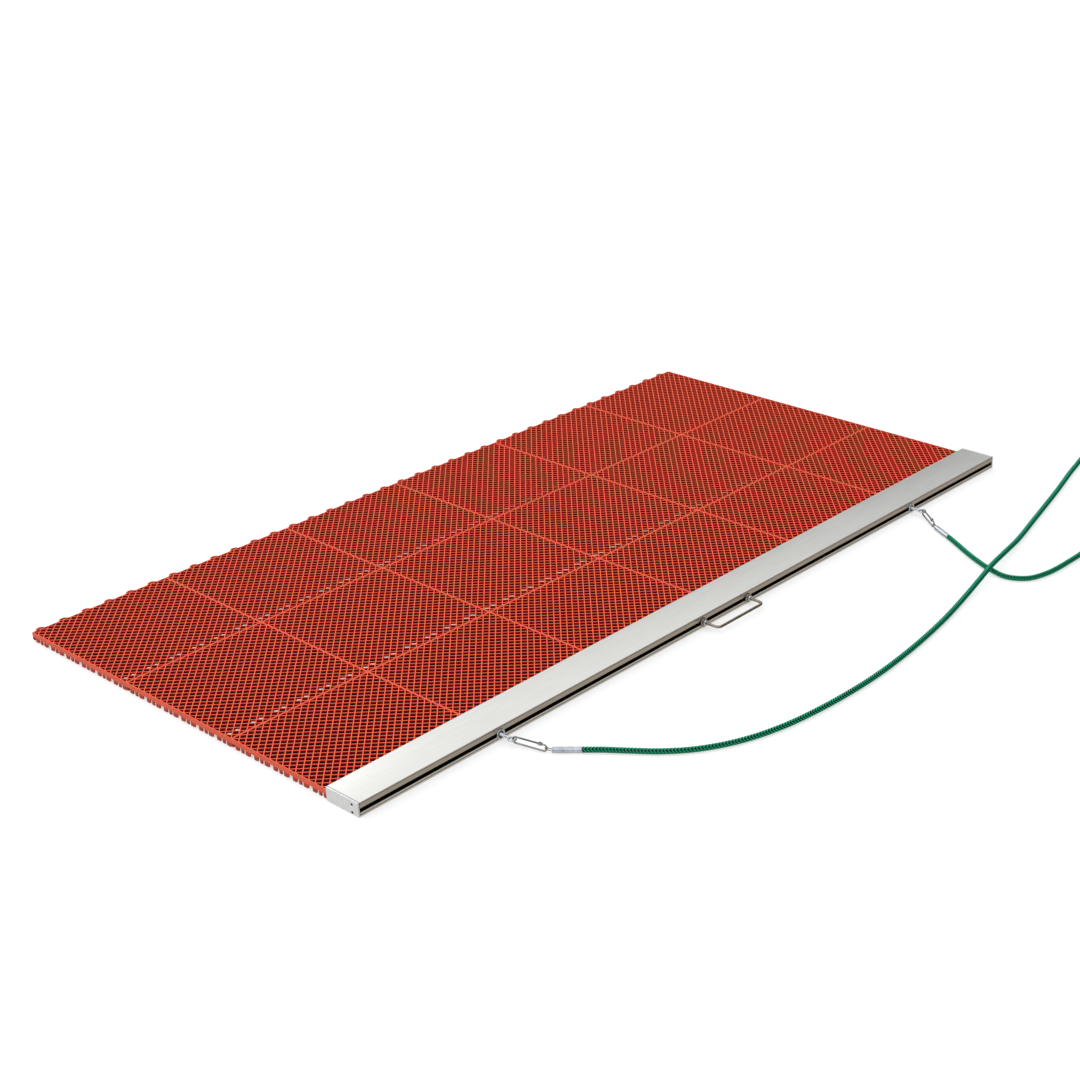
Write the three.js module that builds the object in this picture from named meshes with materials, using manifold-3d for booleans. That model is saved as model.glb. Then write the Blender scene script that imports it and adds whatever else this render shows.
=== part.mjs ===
// Court drag mat: an aluminium drag bar with a T-slot, a 2 m x 1 m mat of
// interlocking lattice tiles, a carrying handle and a tow rope on snap hooks.
// Millimetres, +X along the bar, +Y towards the mat's trailing edge, +Z up.
// The origin is on the bar's underside, at the middle of its closed section.
import * as THREE from 'three';
import { mergeVertices } from 'three/addons/utils/BufferGeometryUtils.js';
import Module from 'manifold-3d';

const wasm = await Module();
wasm.setup();

// ---- driving dimensions -------------------------------------------------
const GAP = 0.3;               // clearance between touching pieces

const BAR_LENGTH = 2000;
const BAR_DEPTH = 86;
const BAR_HEIGHT = 29;
const BAR_BOX_DEPTH = 28.5;    // closed front section, in front of the mat
const FRONT_Y = -BAR_BOX_DEPTH / 2;
const FLANGE_Z = 20;           // underside of the flange that covers the mat
const SLOT_Z = 12.75;          // centre of the T-slot
const SLOT_OPENING = 8.5;
const SLOT_LIP = 3.5;
const SLOT_CAVITY_HEIGHT = 17.5;
const SLOT_CAVITY_BACK = 11;
const PORT_Y = 17;             // end-cap screw ports, behind the front face
const PORT_Z = [4.2, 20.4];
const PORT_RADIUS = 2.1;
const BAR_EDGE = 0.8;          // bevel along the front edges
const GROOVE_Z = { upper: 26, lower: 4.4 };    // scribed lines along the front face
const GROOVE_DEPTH = 0.5;
const GROOVE_HALF = 0.4;
// Hollow chambers: y behind the front face and z, from corner to corner.
const CHAMBERS = [[[20.8, 2.5], [26, 26.5]], [[31, 22.2], [52, 26.8]], [[62, 22.2], [83.5, 26.8]]];
const CAP_THICKNESS = 3.5;
const CAP_CORNER = 5;          // rounded lower corner behind
const CAP_EDGE = 0.5;
// Flat countersunk head, with the shank running in from it and a hex socket.
const CAP_SCREW = { head: 3.9, shank: 1.7, sink: 2.1, length: 18, socket: 1.45, socketDepth: 1.6 };

const TILE = 1000 / 3;
const TILE_COLUMNS = 6;
const TILE_ROWS = 3;
const TILE_HEIGHT = 19;
const LOOPS_PER_TILE = 6;
const LOOP_RADIUS = 11;
const LOOP_REACH = 9.5;        // how far a loop stands out of the tile's rear edge
const LOOP_OFFSET = 0.37;      // first loop's centre, as a share of the loop spacing
const LOOP_TOP = 19;
const LOOP_THICKNESS = 8;

const STRIP_Y = 57;            // clamp strip's centre line, behind the front face
const STRIP_WIDTH = 24;
const STRIP_THICKNESS = 2.7;
const STRIP_INSET = 15;        // strip's ends, in from the mat's ends
const MAT_SCREW_RADIUS = 2.2;
const MAT_SCREW_HEAD = 4.6;
const MAT_SCREW_RIM = 0.4;     // height of the head's upright rim
const MAT_SCREW_TOP = 26;

const EYE_X = 660;
const EYE_REACH = 31;          // ring centre in front of the bar
const EYE_RING_RADIUS = 6.9;
const EYE_WIRE = 2;
const EYE_SHANK = 3;
const TNUT = [16, 5, 16];
const WASHER = { plate: 7, plateThickness: 1, rim: 10, rimHeight: 2.4, bevel: 0.6 };

const HANDLE_X = -7;
const HANDLE_SPACING = 144;
const HANDLE_REACH = 41;
const HANDLE_CORNER = 10;
const HANDLE_LEAD = 8;         // straight run of each leg into its corner
const HANDLE_WIRE = 3;
const BASE_NUT = { flats: 19, thickness: 3 };
const LOCK_NUT = { flats: 11, thickness: 5 };
const NUT_TO_CORNER = 2 / Math.sqrt(3);

const HOOK_WIRE = 1.7;
const HOOK_RADIUS = 6.5;       // centre line of the two round ends
const HOOK_STRAIGHT = 56;
const HOOK_OFFSET = 1.2;       // eye-side round end's centre, from the swing axis
const HOOK_PITCH = 3.85;       // degrees, down towards the rope
const HOOK_NOSE = 8;
const GATE_PIN = 48;           // pin's place along the hook
const PIN_RADIUS = 0.85;
const PIN_REACH = 2.9;
const PIN_HOLE = 1.05;
const FORK = { back: 3.3, front: 5, half: 2.7, height: 2.4 };      // round the gate's tongue
const FORK_SLOT = { back: 5, front: 3, half: 1.2 };
const TONGUE = { root: 4.2, overlap: 2, tip: 1.6, half: 0.9, height: 1.6 };
const HOOK_YAW = { left: 18, right: -34 };       // degrees from -Y
const ROPE_END_YAW = { left: 40, right: -27 };   // degrees from -Y

const LOOP_WIRE = 1;
const WIRE_LOOP_RADIUS = 3.3;
const WIRE_LOOP_LENGTH = 9;
const FERRULE_LENGTH = 56;
const FERRULE_RADIUS = 5.8;
const FERRULE_Z = 6.1;
const FERRULE_EDGE = [0.8, 1.5];                 // bevel, across and along

const ROPE_RADIUS = 6;
const ROPE_SIDES = 8;
const ROPE_STEPS = 80;
const ROPE_LEAD = 12;          // straight run out of each ferrule
// The rope's route between the ferrules, as x, y behind the bar's front face,
// and z. It lies on the ground, and passes over itself once in a low hump.
const ROPE_ROUTE = [
  [-572, -177, 6.3], [-545, -214, 6.3], [-508, -262, 6.3], [-460, -306, 6.3], [-390, -346, 6.3],
  [-300, -374, 6.3], [-180, -390, 6.3], [-40, -394, 6.3], [100, -384, 6.3], [240, -364, 6.3],
  [345, -343, 7.2], [430, -327, 13.5], [507, -312, 19.2], [590, -293, 13.5], [675, -273, 7.2],
  [800, -241, 6.3], [960, -200, 6.3], [1110, -159, 6.3], [1230, -134, 6.3], [1320, -141, 6.3],
  [1378, -190, 6.3], [1386, -262, 6.3], [1340, -326, 6.3], [1250, -372, 6.3], [1120, -400, 6.3],
  [960, -412, 6.3], [800, -414, 6.3], [660, -416, 6.3], [570, -410, 6.3], [520, -391, 6.3],
  [499, -354, 6.3], [508, -308, 6.3], [536, -245, 6.3], [566, -192, 6.3],
];

// ---- helpers ------------------------------------------------------------
const radians = THREE.MathUtils.degToRad;

// A geometry whose faces share their vertices, as joining and cutting need.
function weld(geometry) {
  geometry.deleteAttribute('normal');
  geometry.deleteAttribute('uv');
  return mergeVertices(geometry, 1e-4);
}

function toSolid(geometry) {
  return new wasm.Manifold(new wasm.Mesh({
    numProp: 3,
    vertProperties: new Float32Array(geometry.attributes.position.array),
    triVerts: new Uint32Array(geometry.index.array),
  }));
}

function toGeometry(solid) {
  const mesh = solid.getMesh();
  const geometry = new THREE.BufferGeometry();
  const positions = new Float32Array(mesh.vertProperties);
  geometry.setAttribute('position', new THREE.BufferAttribute(positions, 3));
  geometry.setIndex(new THREE.BufferAttribute(new Uint32Array(mesh.triVerts), 1));
  return geometry;
}

function join(first, ...others) {
  return toGeometry(others.reduce((solid, other) => solid.add(toSolid(other)), toSolid(first)));
}

function cut(body, ...tools) {
  return toGeometry(tools.reduce((solid, tool) => solid.subtract(toSolid(tool)), toSolid(body)));
}

// A box from its lowest to its highest corner.
function block(low, high) {
  const size = high.map((value, axis) => value - low[axis]);
  const centre = high.map((value, axis) => (value + low[axis]) / 2);
  return weld(new THREE.BoxGeometry(...size)).translate(...centre);
}

// A round bar of the given radius between two heights on the Y axis.
function rod(radius, from, to, sides = 16) {
  const cylinder = weld(new THREE.CylinderGeometry(radius, radius, to - from, sides));
  return cylinder.translate(0, (from + to) / 2, 0);
}

// A closed profile of radius and height, turned about the Y axis.
function turned(profile, sides = 16) {
  return weld(new THREE.LatheGeometry(profile.map(([r, y]) => new THREE.Vector2(r, y)), sides));
}

function tube(points, radius, sides, steps) {
  const section = new THREE.Shape();
  for (let side = 0; side < sides; side += 1) {
    const angle = (side + 0.5) * 2 * Math.PI / sides;
    const corner = [radius * Math.cos(angle), radius * Math.sin(angle)];
    if (side === 0) section.moveTo(...corner);
    else section.lineTo(...corner);
  }
  const extrudePath = new THREE.CatmullRomCurve3(points, false, 'centripetal');
  return weld(new THREE.ExtrudeGeometry(section, { steps, extrudePath }));
}

// A flat outline in Y and Z, drawn out along X.
function extrudeAlongX(shape, from, to) {
  const options = { depth: to - from, bevelEnabled: false };
  const axes = new THREE.Matrix4().makeBasis(
    new THREE.Vector3(0, 1, 0),
    new THREE.Vector3(0, 0, 1),
    new THREE.Vector3(1, 0, 0),
  );
  return weld(new THREE.ExtrudeGeometry(shape, options)).applyMatrix4(axes).translate(from, 0, 0);
}

function outline(points) {
  const shape = new THREE.Shape();
  points.forEach(([y, z], index) => {
    if (index === 0) shape.moveTo(FRONT_Y + y, z);
    else shape.lineTo(FRONT_Y + y, z);
  });
  return shape;
}

function arcPoints(centre, radius, fromDegrees, toDegrees, count) {
  return Array.from({ length: count + 1 }, (_, step) => {
    const angle = radians(fromDegrees + (toDegrees - fromDegrees) * step / count);
    return [centre[0] + radius * Math.cos(angle), centre[1] + radius * Math.sin(angle)];
  });
}

// ---- materials ----------------------------------------------------------
const material = (color, roughness, metalness) => (
  new THREE.MeshStandardMaterial({ color, roughness, metalness })
);
const aluminium = () => material(0xc9cac8, 0.38, 0.9);
const zinc = () => material(0xc3ccd4, 0.3, 0.9);
const stainless = () => material(0xbdb8b0, 0.25, 0.95);
const redPvc = () => material(0xc8452a, 0.6, 0);
const greenRope = () => material(0x0b6b47, 0.7, 0);
const greyFerrule = () => material(0x9ba3ab, 0.45, 0.7);

// ---- drag bar and its end caps ------------------------------------------
function dragBar() {
  const half = SLOT_OPENING / 2;
  const cavityLow = SLOT_Z - SLOT_CAVITY_HEIGHT / 2;
  const cavityHigh = SLOT_Z + SLOT_CAVITY_HEIGHT / 2;
  const groove = (z) => [[0, z + GROOVE_HALF], [GROOVE_DEPTH, z], [0, z - GROOVE_HALF]];
  const profile = outline([
    [BAR_EDGE, 0], [BAR_BOX_DEPTH, 0], [BAR_BOX_DEPTH, FLANGE_Z], [BAR_DEPTH, FLANGE_Z],
    [BAR_DEPTH, BAR_HEIGHT], [BAR_EDGE, BAR_HEIGHT], [0, BAR_HEIGHT - BAR_EDGE],
    ...groove(GROOVE_Z.upper),
    [0, SLOT_Z + half], [SLOT_LIP, SLOT_Z + half], [SLOT_LIP, cavityHigh], [SLOT_CAVITY_BACK, cavityHigh],
    [SLOT_CAVITY_BACK, cavityLow], [SLOT_LIP, cavityLow], [SLOT_LIP, SLOT_Z - half], [0, SLOT_Z - half],
    ...groove(GROOVE_Z.lower), [0, BAR_EDGE],
  ]);
  const past = BAR_LENGTH / 2 + 1;
  const chambers = CHAMBERS.map(([[y0, z0], [y1, z1]]) => (
    block([-past, FRONT_Y + y0, z0], [past, FRONT_Y + y1, z1])
  ));
  const ports = PORT_Z.map((z) => rod(PORT_RADIUS, -past, past, 10).rotateZ(Math.PI / 2)
    .translate(0, FRONT_Y + PORT_Y, z));
  const holes = matScrewPositions().map((x) => (
    rod(MAT_SCREW_RADIUS + GAP, FLANGE_Z - 1, MAT_SCREW_TOP + 0.8, 8).rotateX(Math.PI / 2)
      .translate(x, FRONT_Y + STRIP_Y, 0)
  ));
  return cut(extrudeAlongX(profile, -BAR_LENGTH / 2, BAR_LENGTH / 2), ...chambers, ...ports, ...holes);
}

function endCap(side) {
  const shape = outline([
    [CAP_EDGE, 0],
    ...arcPoints([BAR_DEPTH - CAP_CORNER, CAP_CORNER], CAP_CORNER, -90, 0, 5),
    [BAR_DEPTH, BAR_HEIGHT - CAP_EDGE], [BAR_DEPTH - CAP_EDGE, BAR_HEIGHT],
    [CAP_EDGE, BAR_HEIGHT], [0, BAR_HEIGHT - CAP_EDGE], [0, CAP_EDGE],
  ]);
  const inner = BAR_LENGTH / 2 + GAP;
  const plate = extrudeAlongX(shape, inner, inner + CAP_THICKNESS);
  const { head, shank, sink } = CAP_SCREW;
  const sinks = PORT_Z.map((z) => turned([
    [0, -CAP_THICKNESS - 1], [shank + GAP, -CAP_THICKNESS - 1], [shank + GAP, -sink], [head + GAP, 0],
    [head + GAP, 1], [0, 1],
  ]).rotateZ(-Math.PI / 2).translate(inner + CAP_THICKNESS, FRONT_Y + PORT_Y, z));
  const cap = cut(plate, ...sinks);
  return side === 'left' ? mirrored(cap) : cap;
}

// The same geometry on the other side of the plane X = 0.
function mirrored(geometry) {
  const copy = geometry.clone().scale(-1, 1, 1);
  const index = copy.index.array;
  for (let corner = 0; corner < index.length; corner += 3) {
    [index[corner], index[corner + 1]] = [index[corner + 1], index[corner]];
  }
  return copy;
}

// Its flat face is at Y = 0 and its shank runs down -Y.
function capScrew() {
  const { head, shank, sink, length, socket, socketDepth } = CAP_SCREW;
  const rim = 0.2;
  const body = turned([
    [0, -length], [shank, -length + 0.5], [shank, -sink - rim], [head, -rim], [head, 0], [0, 0],
  ]);
  return cut(body, rod(socket, -socketDepth, 1, 6));
}

// ---- mat ----------------------------------------------------------------
const matScrewPositions = () => (
  Array.from({ length: TILE_COLUMNS }, (_, column) => (column + 0.5 - TILE_COLUMNS / 2) * TILE)
);

// One tile with its front left corner at the origin: a plain slab of the
// lattice's outer shape. The front row is channelled for the clamp strip.
function tile(row) {
  const side = TILE - GAP;
  const body = block([0, 0, 0], [side, side, TILE_HEIGHT]);
  if (row === 1) {
    const stripY = STRIP_Y - BAR_BOX_DEPTH - GAP;
    const reach = STRIP_WIDTH / 2 + GAP;
    const channel = block([-1, stripY - reach, -1], [side + 1, stripY + reach, STRIP_THICKNESS + 2 * GAP]);
    const hole = rod(MAT_SCREW_RADIUS + GAP, -1, TILE_HEIGHT + 1, 8).rotateX(Math.PI / 2)
      .translate(side / 2, stripY, 0);
    return cut(body, channel, hole);
  }
  return row === TILE_ROWS ? join(body, ...rearLoops(side)) : body;
}

// The round loops along a tile's rear edge, which hook over a neighbour's pegs.
function rearLoops(side) {
  return Array.from({ length: LOOPS_PER_TILE }, (_, loop) => {
    const x = (loop + LOOP_OFFSET) * side / LOOPS_PER_TILE;
    const y = side + LOOP_REACH - LOOP_RADIUS;
    return rod(LOOP_RADIUS, LOOP_TOP - LOOP_THICKNESS, LOOP_TOP, 12)
      .rotateX(Math.PI / 2).translate(x, y, 0);
  });
}

function clampStrip() {
  const y = FRONT_Y + STRIP_Y;
  const half = TILE_COLUMNS * TILE / 2 - STRIP_INSET;
  const hole = MAT_SCREW_RADIUS + GAP;
  const sink = MAT_SCREW_HEAD + GAP;
  const side = STRIP_WIDTH / 2;
  const strip = block([-half, y - side, GAP], [half, y + side, GAP + STRIP_THICKNESS]);
  const past = STRIP_THICKNESS + 2;
  const sinks = matScrewPositions().map((x) => turned([
    [0, -1], [sink, -1], [sink, GAP + MAT_SCREW_RIM], [hole, STRIP_THICKNESS], [hole, past], [0, past],
  ], 10).rotateX(Math.PI / 2).translate(x, y, 0));
  return cut(strip, ...sinks);
}

function matScrew() {
  return turned([
    [0, GAP], [MAT_SCREW_HEAD, GAP], [MAT_SCREW_HEAD, GAP + MAT_SCREW_RIM],
    [MAT_SCREW_RADIUS, STRIP_THICKNESS],
    [MAT_SCREW_RADIUS, MAT_SCREW_TOP - 1], [0, MAT_SCREW_TOP],
  ], 10).rotateX(Math.PI / 2);
}

// ---- hardware in the T-slot ---------------------------------------------
// These stand with Y = 0 on the bar's front face and their axis along Y.
function tNut(hole) {
  const [width, depth, height] = TNUT;
  const front = SLOT_LIP + GAP;
  const nut = block([-width / 2, front, -height / 2], [width / 2, front + depth, height / 2]);
  return cut(nut, rod(hole + GAP, front - 1, front + depth + 1, 12));
}

// A washer with a raised rim and a thin dished middle.
function eyeWasher() {
  const { plate, plateThickness, rim, rimHeight, bevel } = WASHER;
  const hole = EYE_SHANK + GAP;
  const dish = -GAP - plateThickness;
  const top = -GAP - rimHeight;
  return turned([
    [hole, dish], [plate, dish], [plate + bevel, top], [rim - bevel, top], [rim, top + bevel], [rim, -GAP],
    [hole, -GAP], [hole, dish],
  ], 16);
}

function eyeBolt() {
  const shank = rod(EYE_SHANK, -EYE_REACH + EYE_RING_RADIUS, SLOT_LIP + GAP + TNUT[1], 12);
  const eye = weld(new THREE.TorusGeometry(EYE_RING_RADIUS, EYE_WIRE, 8, 18)).translate(0, -EYE_REACH, 0);
  return join(shank, eye);
}

// A hexagonal nut whose back face is the given distance in front of the bar.
function hexNut({ flats, thickness }, back) {
  const from = -back - thickness;
  const hole = rod(HANDLE_WIRE + GAP, from - 1, 1 - back, 14);
  return cut(rod(flats / 2 * NUT_TO_CORNER, from, -back, 6), hole);
}

function handleBow() {
  const half = HANDLE_SPACING / 2;
  const back = SLOT_LIP + GAP + TNUT[1];
  const corner = half - HANDLE_CORNER;
  const front = -HANDLE_REACH + HANDLE_CORNER;
  const plan = [
    [-half, back], [-half, 0], [-half, front + HANDLE_LEAD],
    ...arcPoints([-corner, front], HANDLE_CORNER, 180, 270, 5),
    [-corner / 2, -HANDLE_REACH], [corner / 2, -HANDLE_REACH],
    ...arcPoints([corner, front], HANDLE_CORNER, 270, 360, 5),
    [half, front + HANDLE_LEAD], [half, 0], [half, back],
  ];
  return tube(plan.map(([x, y]) => new THREE.Vector3(x, y, 0)), HANDLE_WIRE, 10, 36);
}

// ---- snap hook ----------------------------------------------------------
// Drawn in its own frame: +X from the eye bolt towards the rope, +Z to the
// gate's side, the origin on the axis that it swings about in the eye.
const hookPoint = ([u, w]) => new THREE.Vector3(u + HOOK_OFFSET, 0, w);

function snapHook() {
  const side = [
    [GATE_PIN + FORK.front - HOOK_WIRE, HOOK_RADIUS], [HOOK_STRAIGHT - 1, HOOK_RADIUS],
    ...arcPoints([HOOK_STRAIGHT, 0], HOOK_RADIUS, 90, -90, 8),
    ...[0.75, 0.5, 0.25].map((share) => [share * HOOK_STRAIGHT, -HOOK_RADIUS]),
    ...arcPoints([0, 0], HOOK_RADIUS, 270, 90, 8),
    [HOOK_NOSE / 2, HOOK_RADIUS], [HOOK_NOSE, HOOK_RADIUS],
  ];
  const wire = tube(side.map(hookPoint), HOOK_WIRE, 8, 44);
  const past = 2 * FORK.height;
  const fork = block(
    [GATE_PIN - FORK.back, -FORK.half, -FORK.height],
    [GATE_PIN + FORK.front, FORK.half, FORK.height],
  );
  const slot = block(
    [GATE_PIN - FORK_SLOT.back, -FORK_SLOT.half, -past],
    [GATE_PIN + FORK_SLOT.front, FORK_SLOT.half, past],
  );
  const hole = rod(PIN_HOLE, -past, past, 12).translate(GATE_PIN, 0, 0);
  [fork, slot, hole].forEach((shape) => shape.translate(HOOK_OFFSET, 0, HOOK_RADIUS));
  return cut(join(wire, fork), slot, hole);
}

function snapGate() {
  const from = HOOK_NOSE + GAP;
  const to = GATE_PIN - TONGUE.root;
  const wire = rod(HOOK_WIRE, from, to, 10).rotateZ(-Math.PI / 2);
  const tongue = block(
    [to - TONGUE.overlap, -TONGUE.half, -TONGUE.height],
    [GATE_PIN + TONGUE.tip, TONGUE.half, TONGUE.height],
  );
  const hole = rod(PIN_HOLE, -PIN_REACH, PIN_REACH, 12).translate(GATE_PIN, 0, 0);
  return cut(join(wire, tongue), hole).translate(HOOK_OFFSET, 0, HOOK_RADIUS);
}

function gatePin() {
  return rod(PIN_RADIUS, -PIN_REACH, PIN_REACH, 12).translate(GATE_PIN + HOOK_OFFSET, 0, HOOK_RADIUS);
}

// ---- rope ends and rope -------------------------------------------------
// The wire loop round a snap hook's rope end: +X towards the ferrule.
function wireLoop() {
  const end = WIRE_LOOP_LENGTH - 2 * GAP;
  const plan = [
    [end, -WIRE_LOOP_RADIUS], [end / 2, -WIRE_LOOP_RADIUS],
    ...arcPoints([0, 0], WIRE_LOOP_RADIUS, 270, 90, 8),
    [end / 2, WIRE_LOOP_RADIUS], [end, WIRE_LOOP_RADIUS],
  ];
  return tube(plan.map(([x, y]) => new THREE.Vector3(x, y, 0)), LOOP_WIRE, 8, 16);
}

// A crimped sleeve from X = 0 along +X.
function ferrule() {
  const [across, along] = FERRULE_EDGE;
  const neck = FERRULE_RADIUS - across;
  return turned([
    [0, 0], [neck, 0], [FERRULE_RADIUS, along], [FERRULE_RADIUS, FERRULE_LENGTH - along],
    [neck, FERRULE_LENGTH], [0, FERRULE_LENGTH],
  ], 16).rotateZ(-Math.PI / 2);
}

// ---- assembly -----------------------------------------------------------
const group = new THREE.Group();

function add(name, geometry, material, parent = group) {
  const mesh = new THREE.Mesh(geometry, material);
  mesh.name = name;
  parent.add(mesh);
  return mesh;
}

function addBar() {
  add('drag_bar', dragBar(), aluminium());
  ['left', 'right'].forEach((side) => {
    add(`end_cap_${side}`, endCap(side), aluminium());
    const sign = side === 'left' ? -1 : 1;
    const outside = sign * (BAR_LENGTH / 2 + GAP + CAP_THICKNESS);
    ['bottom', 'top'].forEach((level, index) => {
      const screw = add(`cap_screw_${side}_${level}`, capScrew(), zinc());
      screw.position.set(outside, FRONT_Y + PORT_Y, PORT_Z[index]);
      screw.rotation.z = -sign * Math.PI / 2;
    });
  });
}

function addMat() {
  for (let row = 1; row <= TILE_ROWS; row += 1) {
    for (let column = 1; column <= TILE_COLUMNS; column += 1) {
      const mesh = add(`mat_tile_r${row}_c${column}`, tile(row), redPvc());
      const x = (column - 1 - TILE_COLUMNS / 2) * TILE + GAP / 2;
      mesh.position.set(x, FRONT_Y + BAR_BOX_DEPTH + GAP + (row - 1) * TILE, 0);
    }
  }
  add('mat_clamp_strip', clampStrip(), aluminium());
  matScrewPositions().forEach((x, index) => {
    add(`mat_screw_${index + 1}`, matScrew(), zinc()).position.set(x, FRONT_Y + STRIP_Y, 0);
  });
}

function addHandle() {
  const frame = new THREE.Group();
  frame.position.set(HANDLE_X, FRONT_Y, SLOT_Z);
  group.add(frame);
  add('handle_bow', handleBow(), stainless(), frame);
  [['left', -1], ['right', 1]].forEach(([side, sign]) => {
    const leg = new THREE.Group();
    leg.position.x = sign * HANDLE_SPACING / 2;
    frame.add(leg);
    add(`handle_tnut_${side}`, tNut(HANDLE_WIRE), zinc(), leg);
    add(`handle_base_nut_${side}`, hexNut(BASE_NUT, GAP), stainless(), leg);
    add(`handle_lock_nut_${side}`, hexNut(LOCK_NUT, 2 * GAP + BASE_NUT.thickness), zinc(), leg);
  });
}

// The unit vector at an angle in plan, counted from -Y towards +X.
function heading(degrees) {
  return new THREE.Vector3(Math.sin(radians(degrees)), -Math.cos(radians(degrees)), 0);
}

// An eye bolt, its snap hook and the rope's end; returns where the rope starts.
function addTowEnd(side, sign) {
  const bolt = new THREE.Group();
  bolt.position.set(sign * EYE_X, FRONT_Y, SLOT_Z);
  group.add(bolt);
  add(`eye_bolt_${side}`, eyeBolt(), zinc(), bolt);
  add(`eye_washer_${side}`, eyeWasher(), zinc(), bolt);
  add(`eye_tnut_${side}`, tNut(EYE_SHANK), zinc(), bolt);

  const hook = new THREE.Group();
  const along = heading(HOOK_YAW[side]);
  hook.position.copy(bolt.position).addScaledVector(along, EYE_RING_RADIUS);
  hook.position.y -= EYE_REACH;
  hook.rotation.set(0, radians(HOOK_PITCH), radians(HOOK_YAW[side] - 90), 'ZYX');
  group.add(hook);
  add(`snap_hook_${side}`, snapHook(), zinc(), hook);
  add(`snap_gate_${side}`, snapGate(), zinc(), hook);
  add(`gate_pin_${side}`, gatePin(), zinc(), hook);
  hook.updateMatrixWorld(true);

  const reach = HOOK_OFFSET + HOOK_STRAIGHT + HOOK_RADIUS;
  const far = new THREE.Vector3(reach, 0, 0).applyMatrix4(hook.matrixWorld);
  const rope = heading(ROPE_END_YAW[side]);
  const start = far.clone().addScaledVector(rope, WIRE_LOOP_LENGTH).setZ(FERRULE_Z);
  const drop = Math.atan2(far.z - FERRULE_Z, WIRE_LOOP_LENGTH);
  const loop = add(`wire_loop_${side}`, wireLoop(), stainless());
  loop.position.copy(far);
  loop.rotation.set(0, drop, radians(ROPE_END_YAW[side] - 90), 'ZYX');
  const sleeve = add(`ferrule_${side}`, ferrule(), greyFerrule());
  sleeve.position.copy(start);
  sleeve.rotation.z = radians(ROPE_END_YAW[side] - 90);
  return { end: start.clone().addScaledVector(rope, FERRULE_LENGTH + GAP), rope };
}

function addRope(left, right) {
  const route = ROPE_ROUTE.map(([x, y, z]) => new THREE.Vector3(x, FRONT_Y + y, z));
  const lift = (point) => point.setZ(ROPE_ROUTE[0][2]);
  const points = [
    lift(left.end.clone()), lift(left.end.clone().addScaledVector(left.rope, ROPE_LEAD)),
    ...route,
    lift(right.end.clone().addScaledVector(right.rope, ROPE_LEAD)), lift(right.end.clone()),
  ];
  add('tow_rope', tube(points, ROPE_RADIUS, ROPE_SIDES, ROPE_STEPS), greenRope());
}

addBar();
addMat();
addHandle();
addRope(addTowEnd('left', -1), addTowEnd('right', 1));

export default group;
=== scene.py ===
"""Looks for the court drag mat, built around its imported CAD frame.

Lengths are in metres in the row frame: +X along the bar, +Y towards the mat's
trailing edge, +Z up, and the origin under the middle of the bar.
"""
import math

import bpy
import numpy as np
from mathutils import Matrix, Vector


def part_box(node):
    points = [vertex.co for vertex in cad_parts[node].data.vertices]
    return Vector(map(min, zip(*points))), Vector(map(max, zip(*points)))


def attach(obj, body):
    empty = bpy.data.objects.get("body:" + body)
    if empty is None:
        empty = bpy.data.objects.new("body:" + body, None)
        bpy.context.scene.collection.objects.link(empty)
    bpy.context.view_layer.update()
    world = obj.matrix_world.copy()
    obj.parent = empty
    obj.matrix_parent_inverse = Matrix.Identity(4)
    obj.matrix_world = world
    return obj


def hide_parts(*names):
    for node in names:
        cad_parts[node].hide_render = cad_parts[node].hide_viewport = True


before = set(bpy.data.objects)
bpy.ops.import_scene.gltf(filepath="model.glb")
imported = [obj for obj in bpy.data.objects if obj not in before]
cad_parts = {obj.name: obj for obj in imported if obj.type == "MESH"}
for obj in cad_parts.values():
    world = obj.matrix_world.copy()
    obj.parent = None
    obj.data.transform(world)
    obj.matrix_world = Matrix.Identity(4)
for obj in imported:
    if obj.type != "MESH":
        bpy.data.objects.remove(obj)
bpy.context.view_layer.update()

MM = 0.001
SIDES = (("left", -1), ("right", 1))

# ---- sizes taken from the frame ----
BAR_LOW, BAR_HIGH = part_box("drag_bar")
FRONT_Y = BAR_LOW.y
BAR_TOP = BAR_HIGH.z
TILE_LOW, TILE_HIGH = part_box("mat_tile_r2_c1")
TILE_SIDE = TILE_HIGH.x - TILE_LOW.x
TILE_TOP = TILE_HIGH.z


# ---- mesh helpers ----
class Shell:
    """Faces given by their points; points at the same place become one vertex.

    Edges that turn by more than sharp_degrees are sharp. None makes every face flat.
    """

    def __init__(self, sharp_degrees=35):
        self.sharp_degrees = sharp_degrees
        self.numbers = {}
        self.points = []
        self.faces = []
        self.finishes = []
        self.finish = 0

    def vertex(self, point):
        key = tuple(round(value * 1e6) for value in point)
        if key not in self.numbers:
            self.numbers[key] = len(self.points)
            self.points.append(tuple(point))
        return self.numbers[key]

    def face(self, *points):
        corners = list(dict.fromkeys(self.vertex(point) for point in points))
        if len(corners) > 2:
            self.faces.append(corners)
            self.finishes.append(self.finish)

    def mesh(self, name):
        smooth = self.sharp_degrees is not None
        mesh = bpy.data.meshes.new(name)
        mesh.from_pydata(self.points, [], self.faces)
        mesh.polygons.foreach_set("use_smooth", [smooth] * len(mesh.polygons))
        mesh.polygons.foreach_set("material_index", self.finishes)
        if smooth:
            mesh.set_sharp_from_angle(angle=math.radians(self.sharp_degrees))
        mesh.update()
        return mesh


def place(name, shape, material, body, node, matrix=None):
    """An object for a mesh or a shell, riding on a body and standing for a CAD node."""
    mesh = shape.mesh(name) if isinstance(shape, Shell) else shape
    piece = bpy.data.objects.new(name, mesh)
    bpy.context.scene.collection.objects.link(piece)
    if matrix is not None:
        piece.matrix_world = matrix
    if not mesh.materials:
        for finish in material if isinstance(material, tuple) else (material,):
            mesh.materials.append(finish)
    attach(piece, body)
    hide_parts(node)
    return piece


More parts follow.
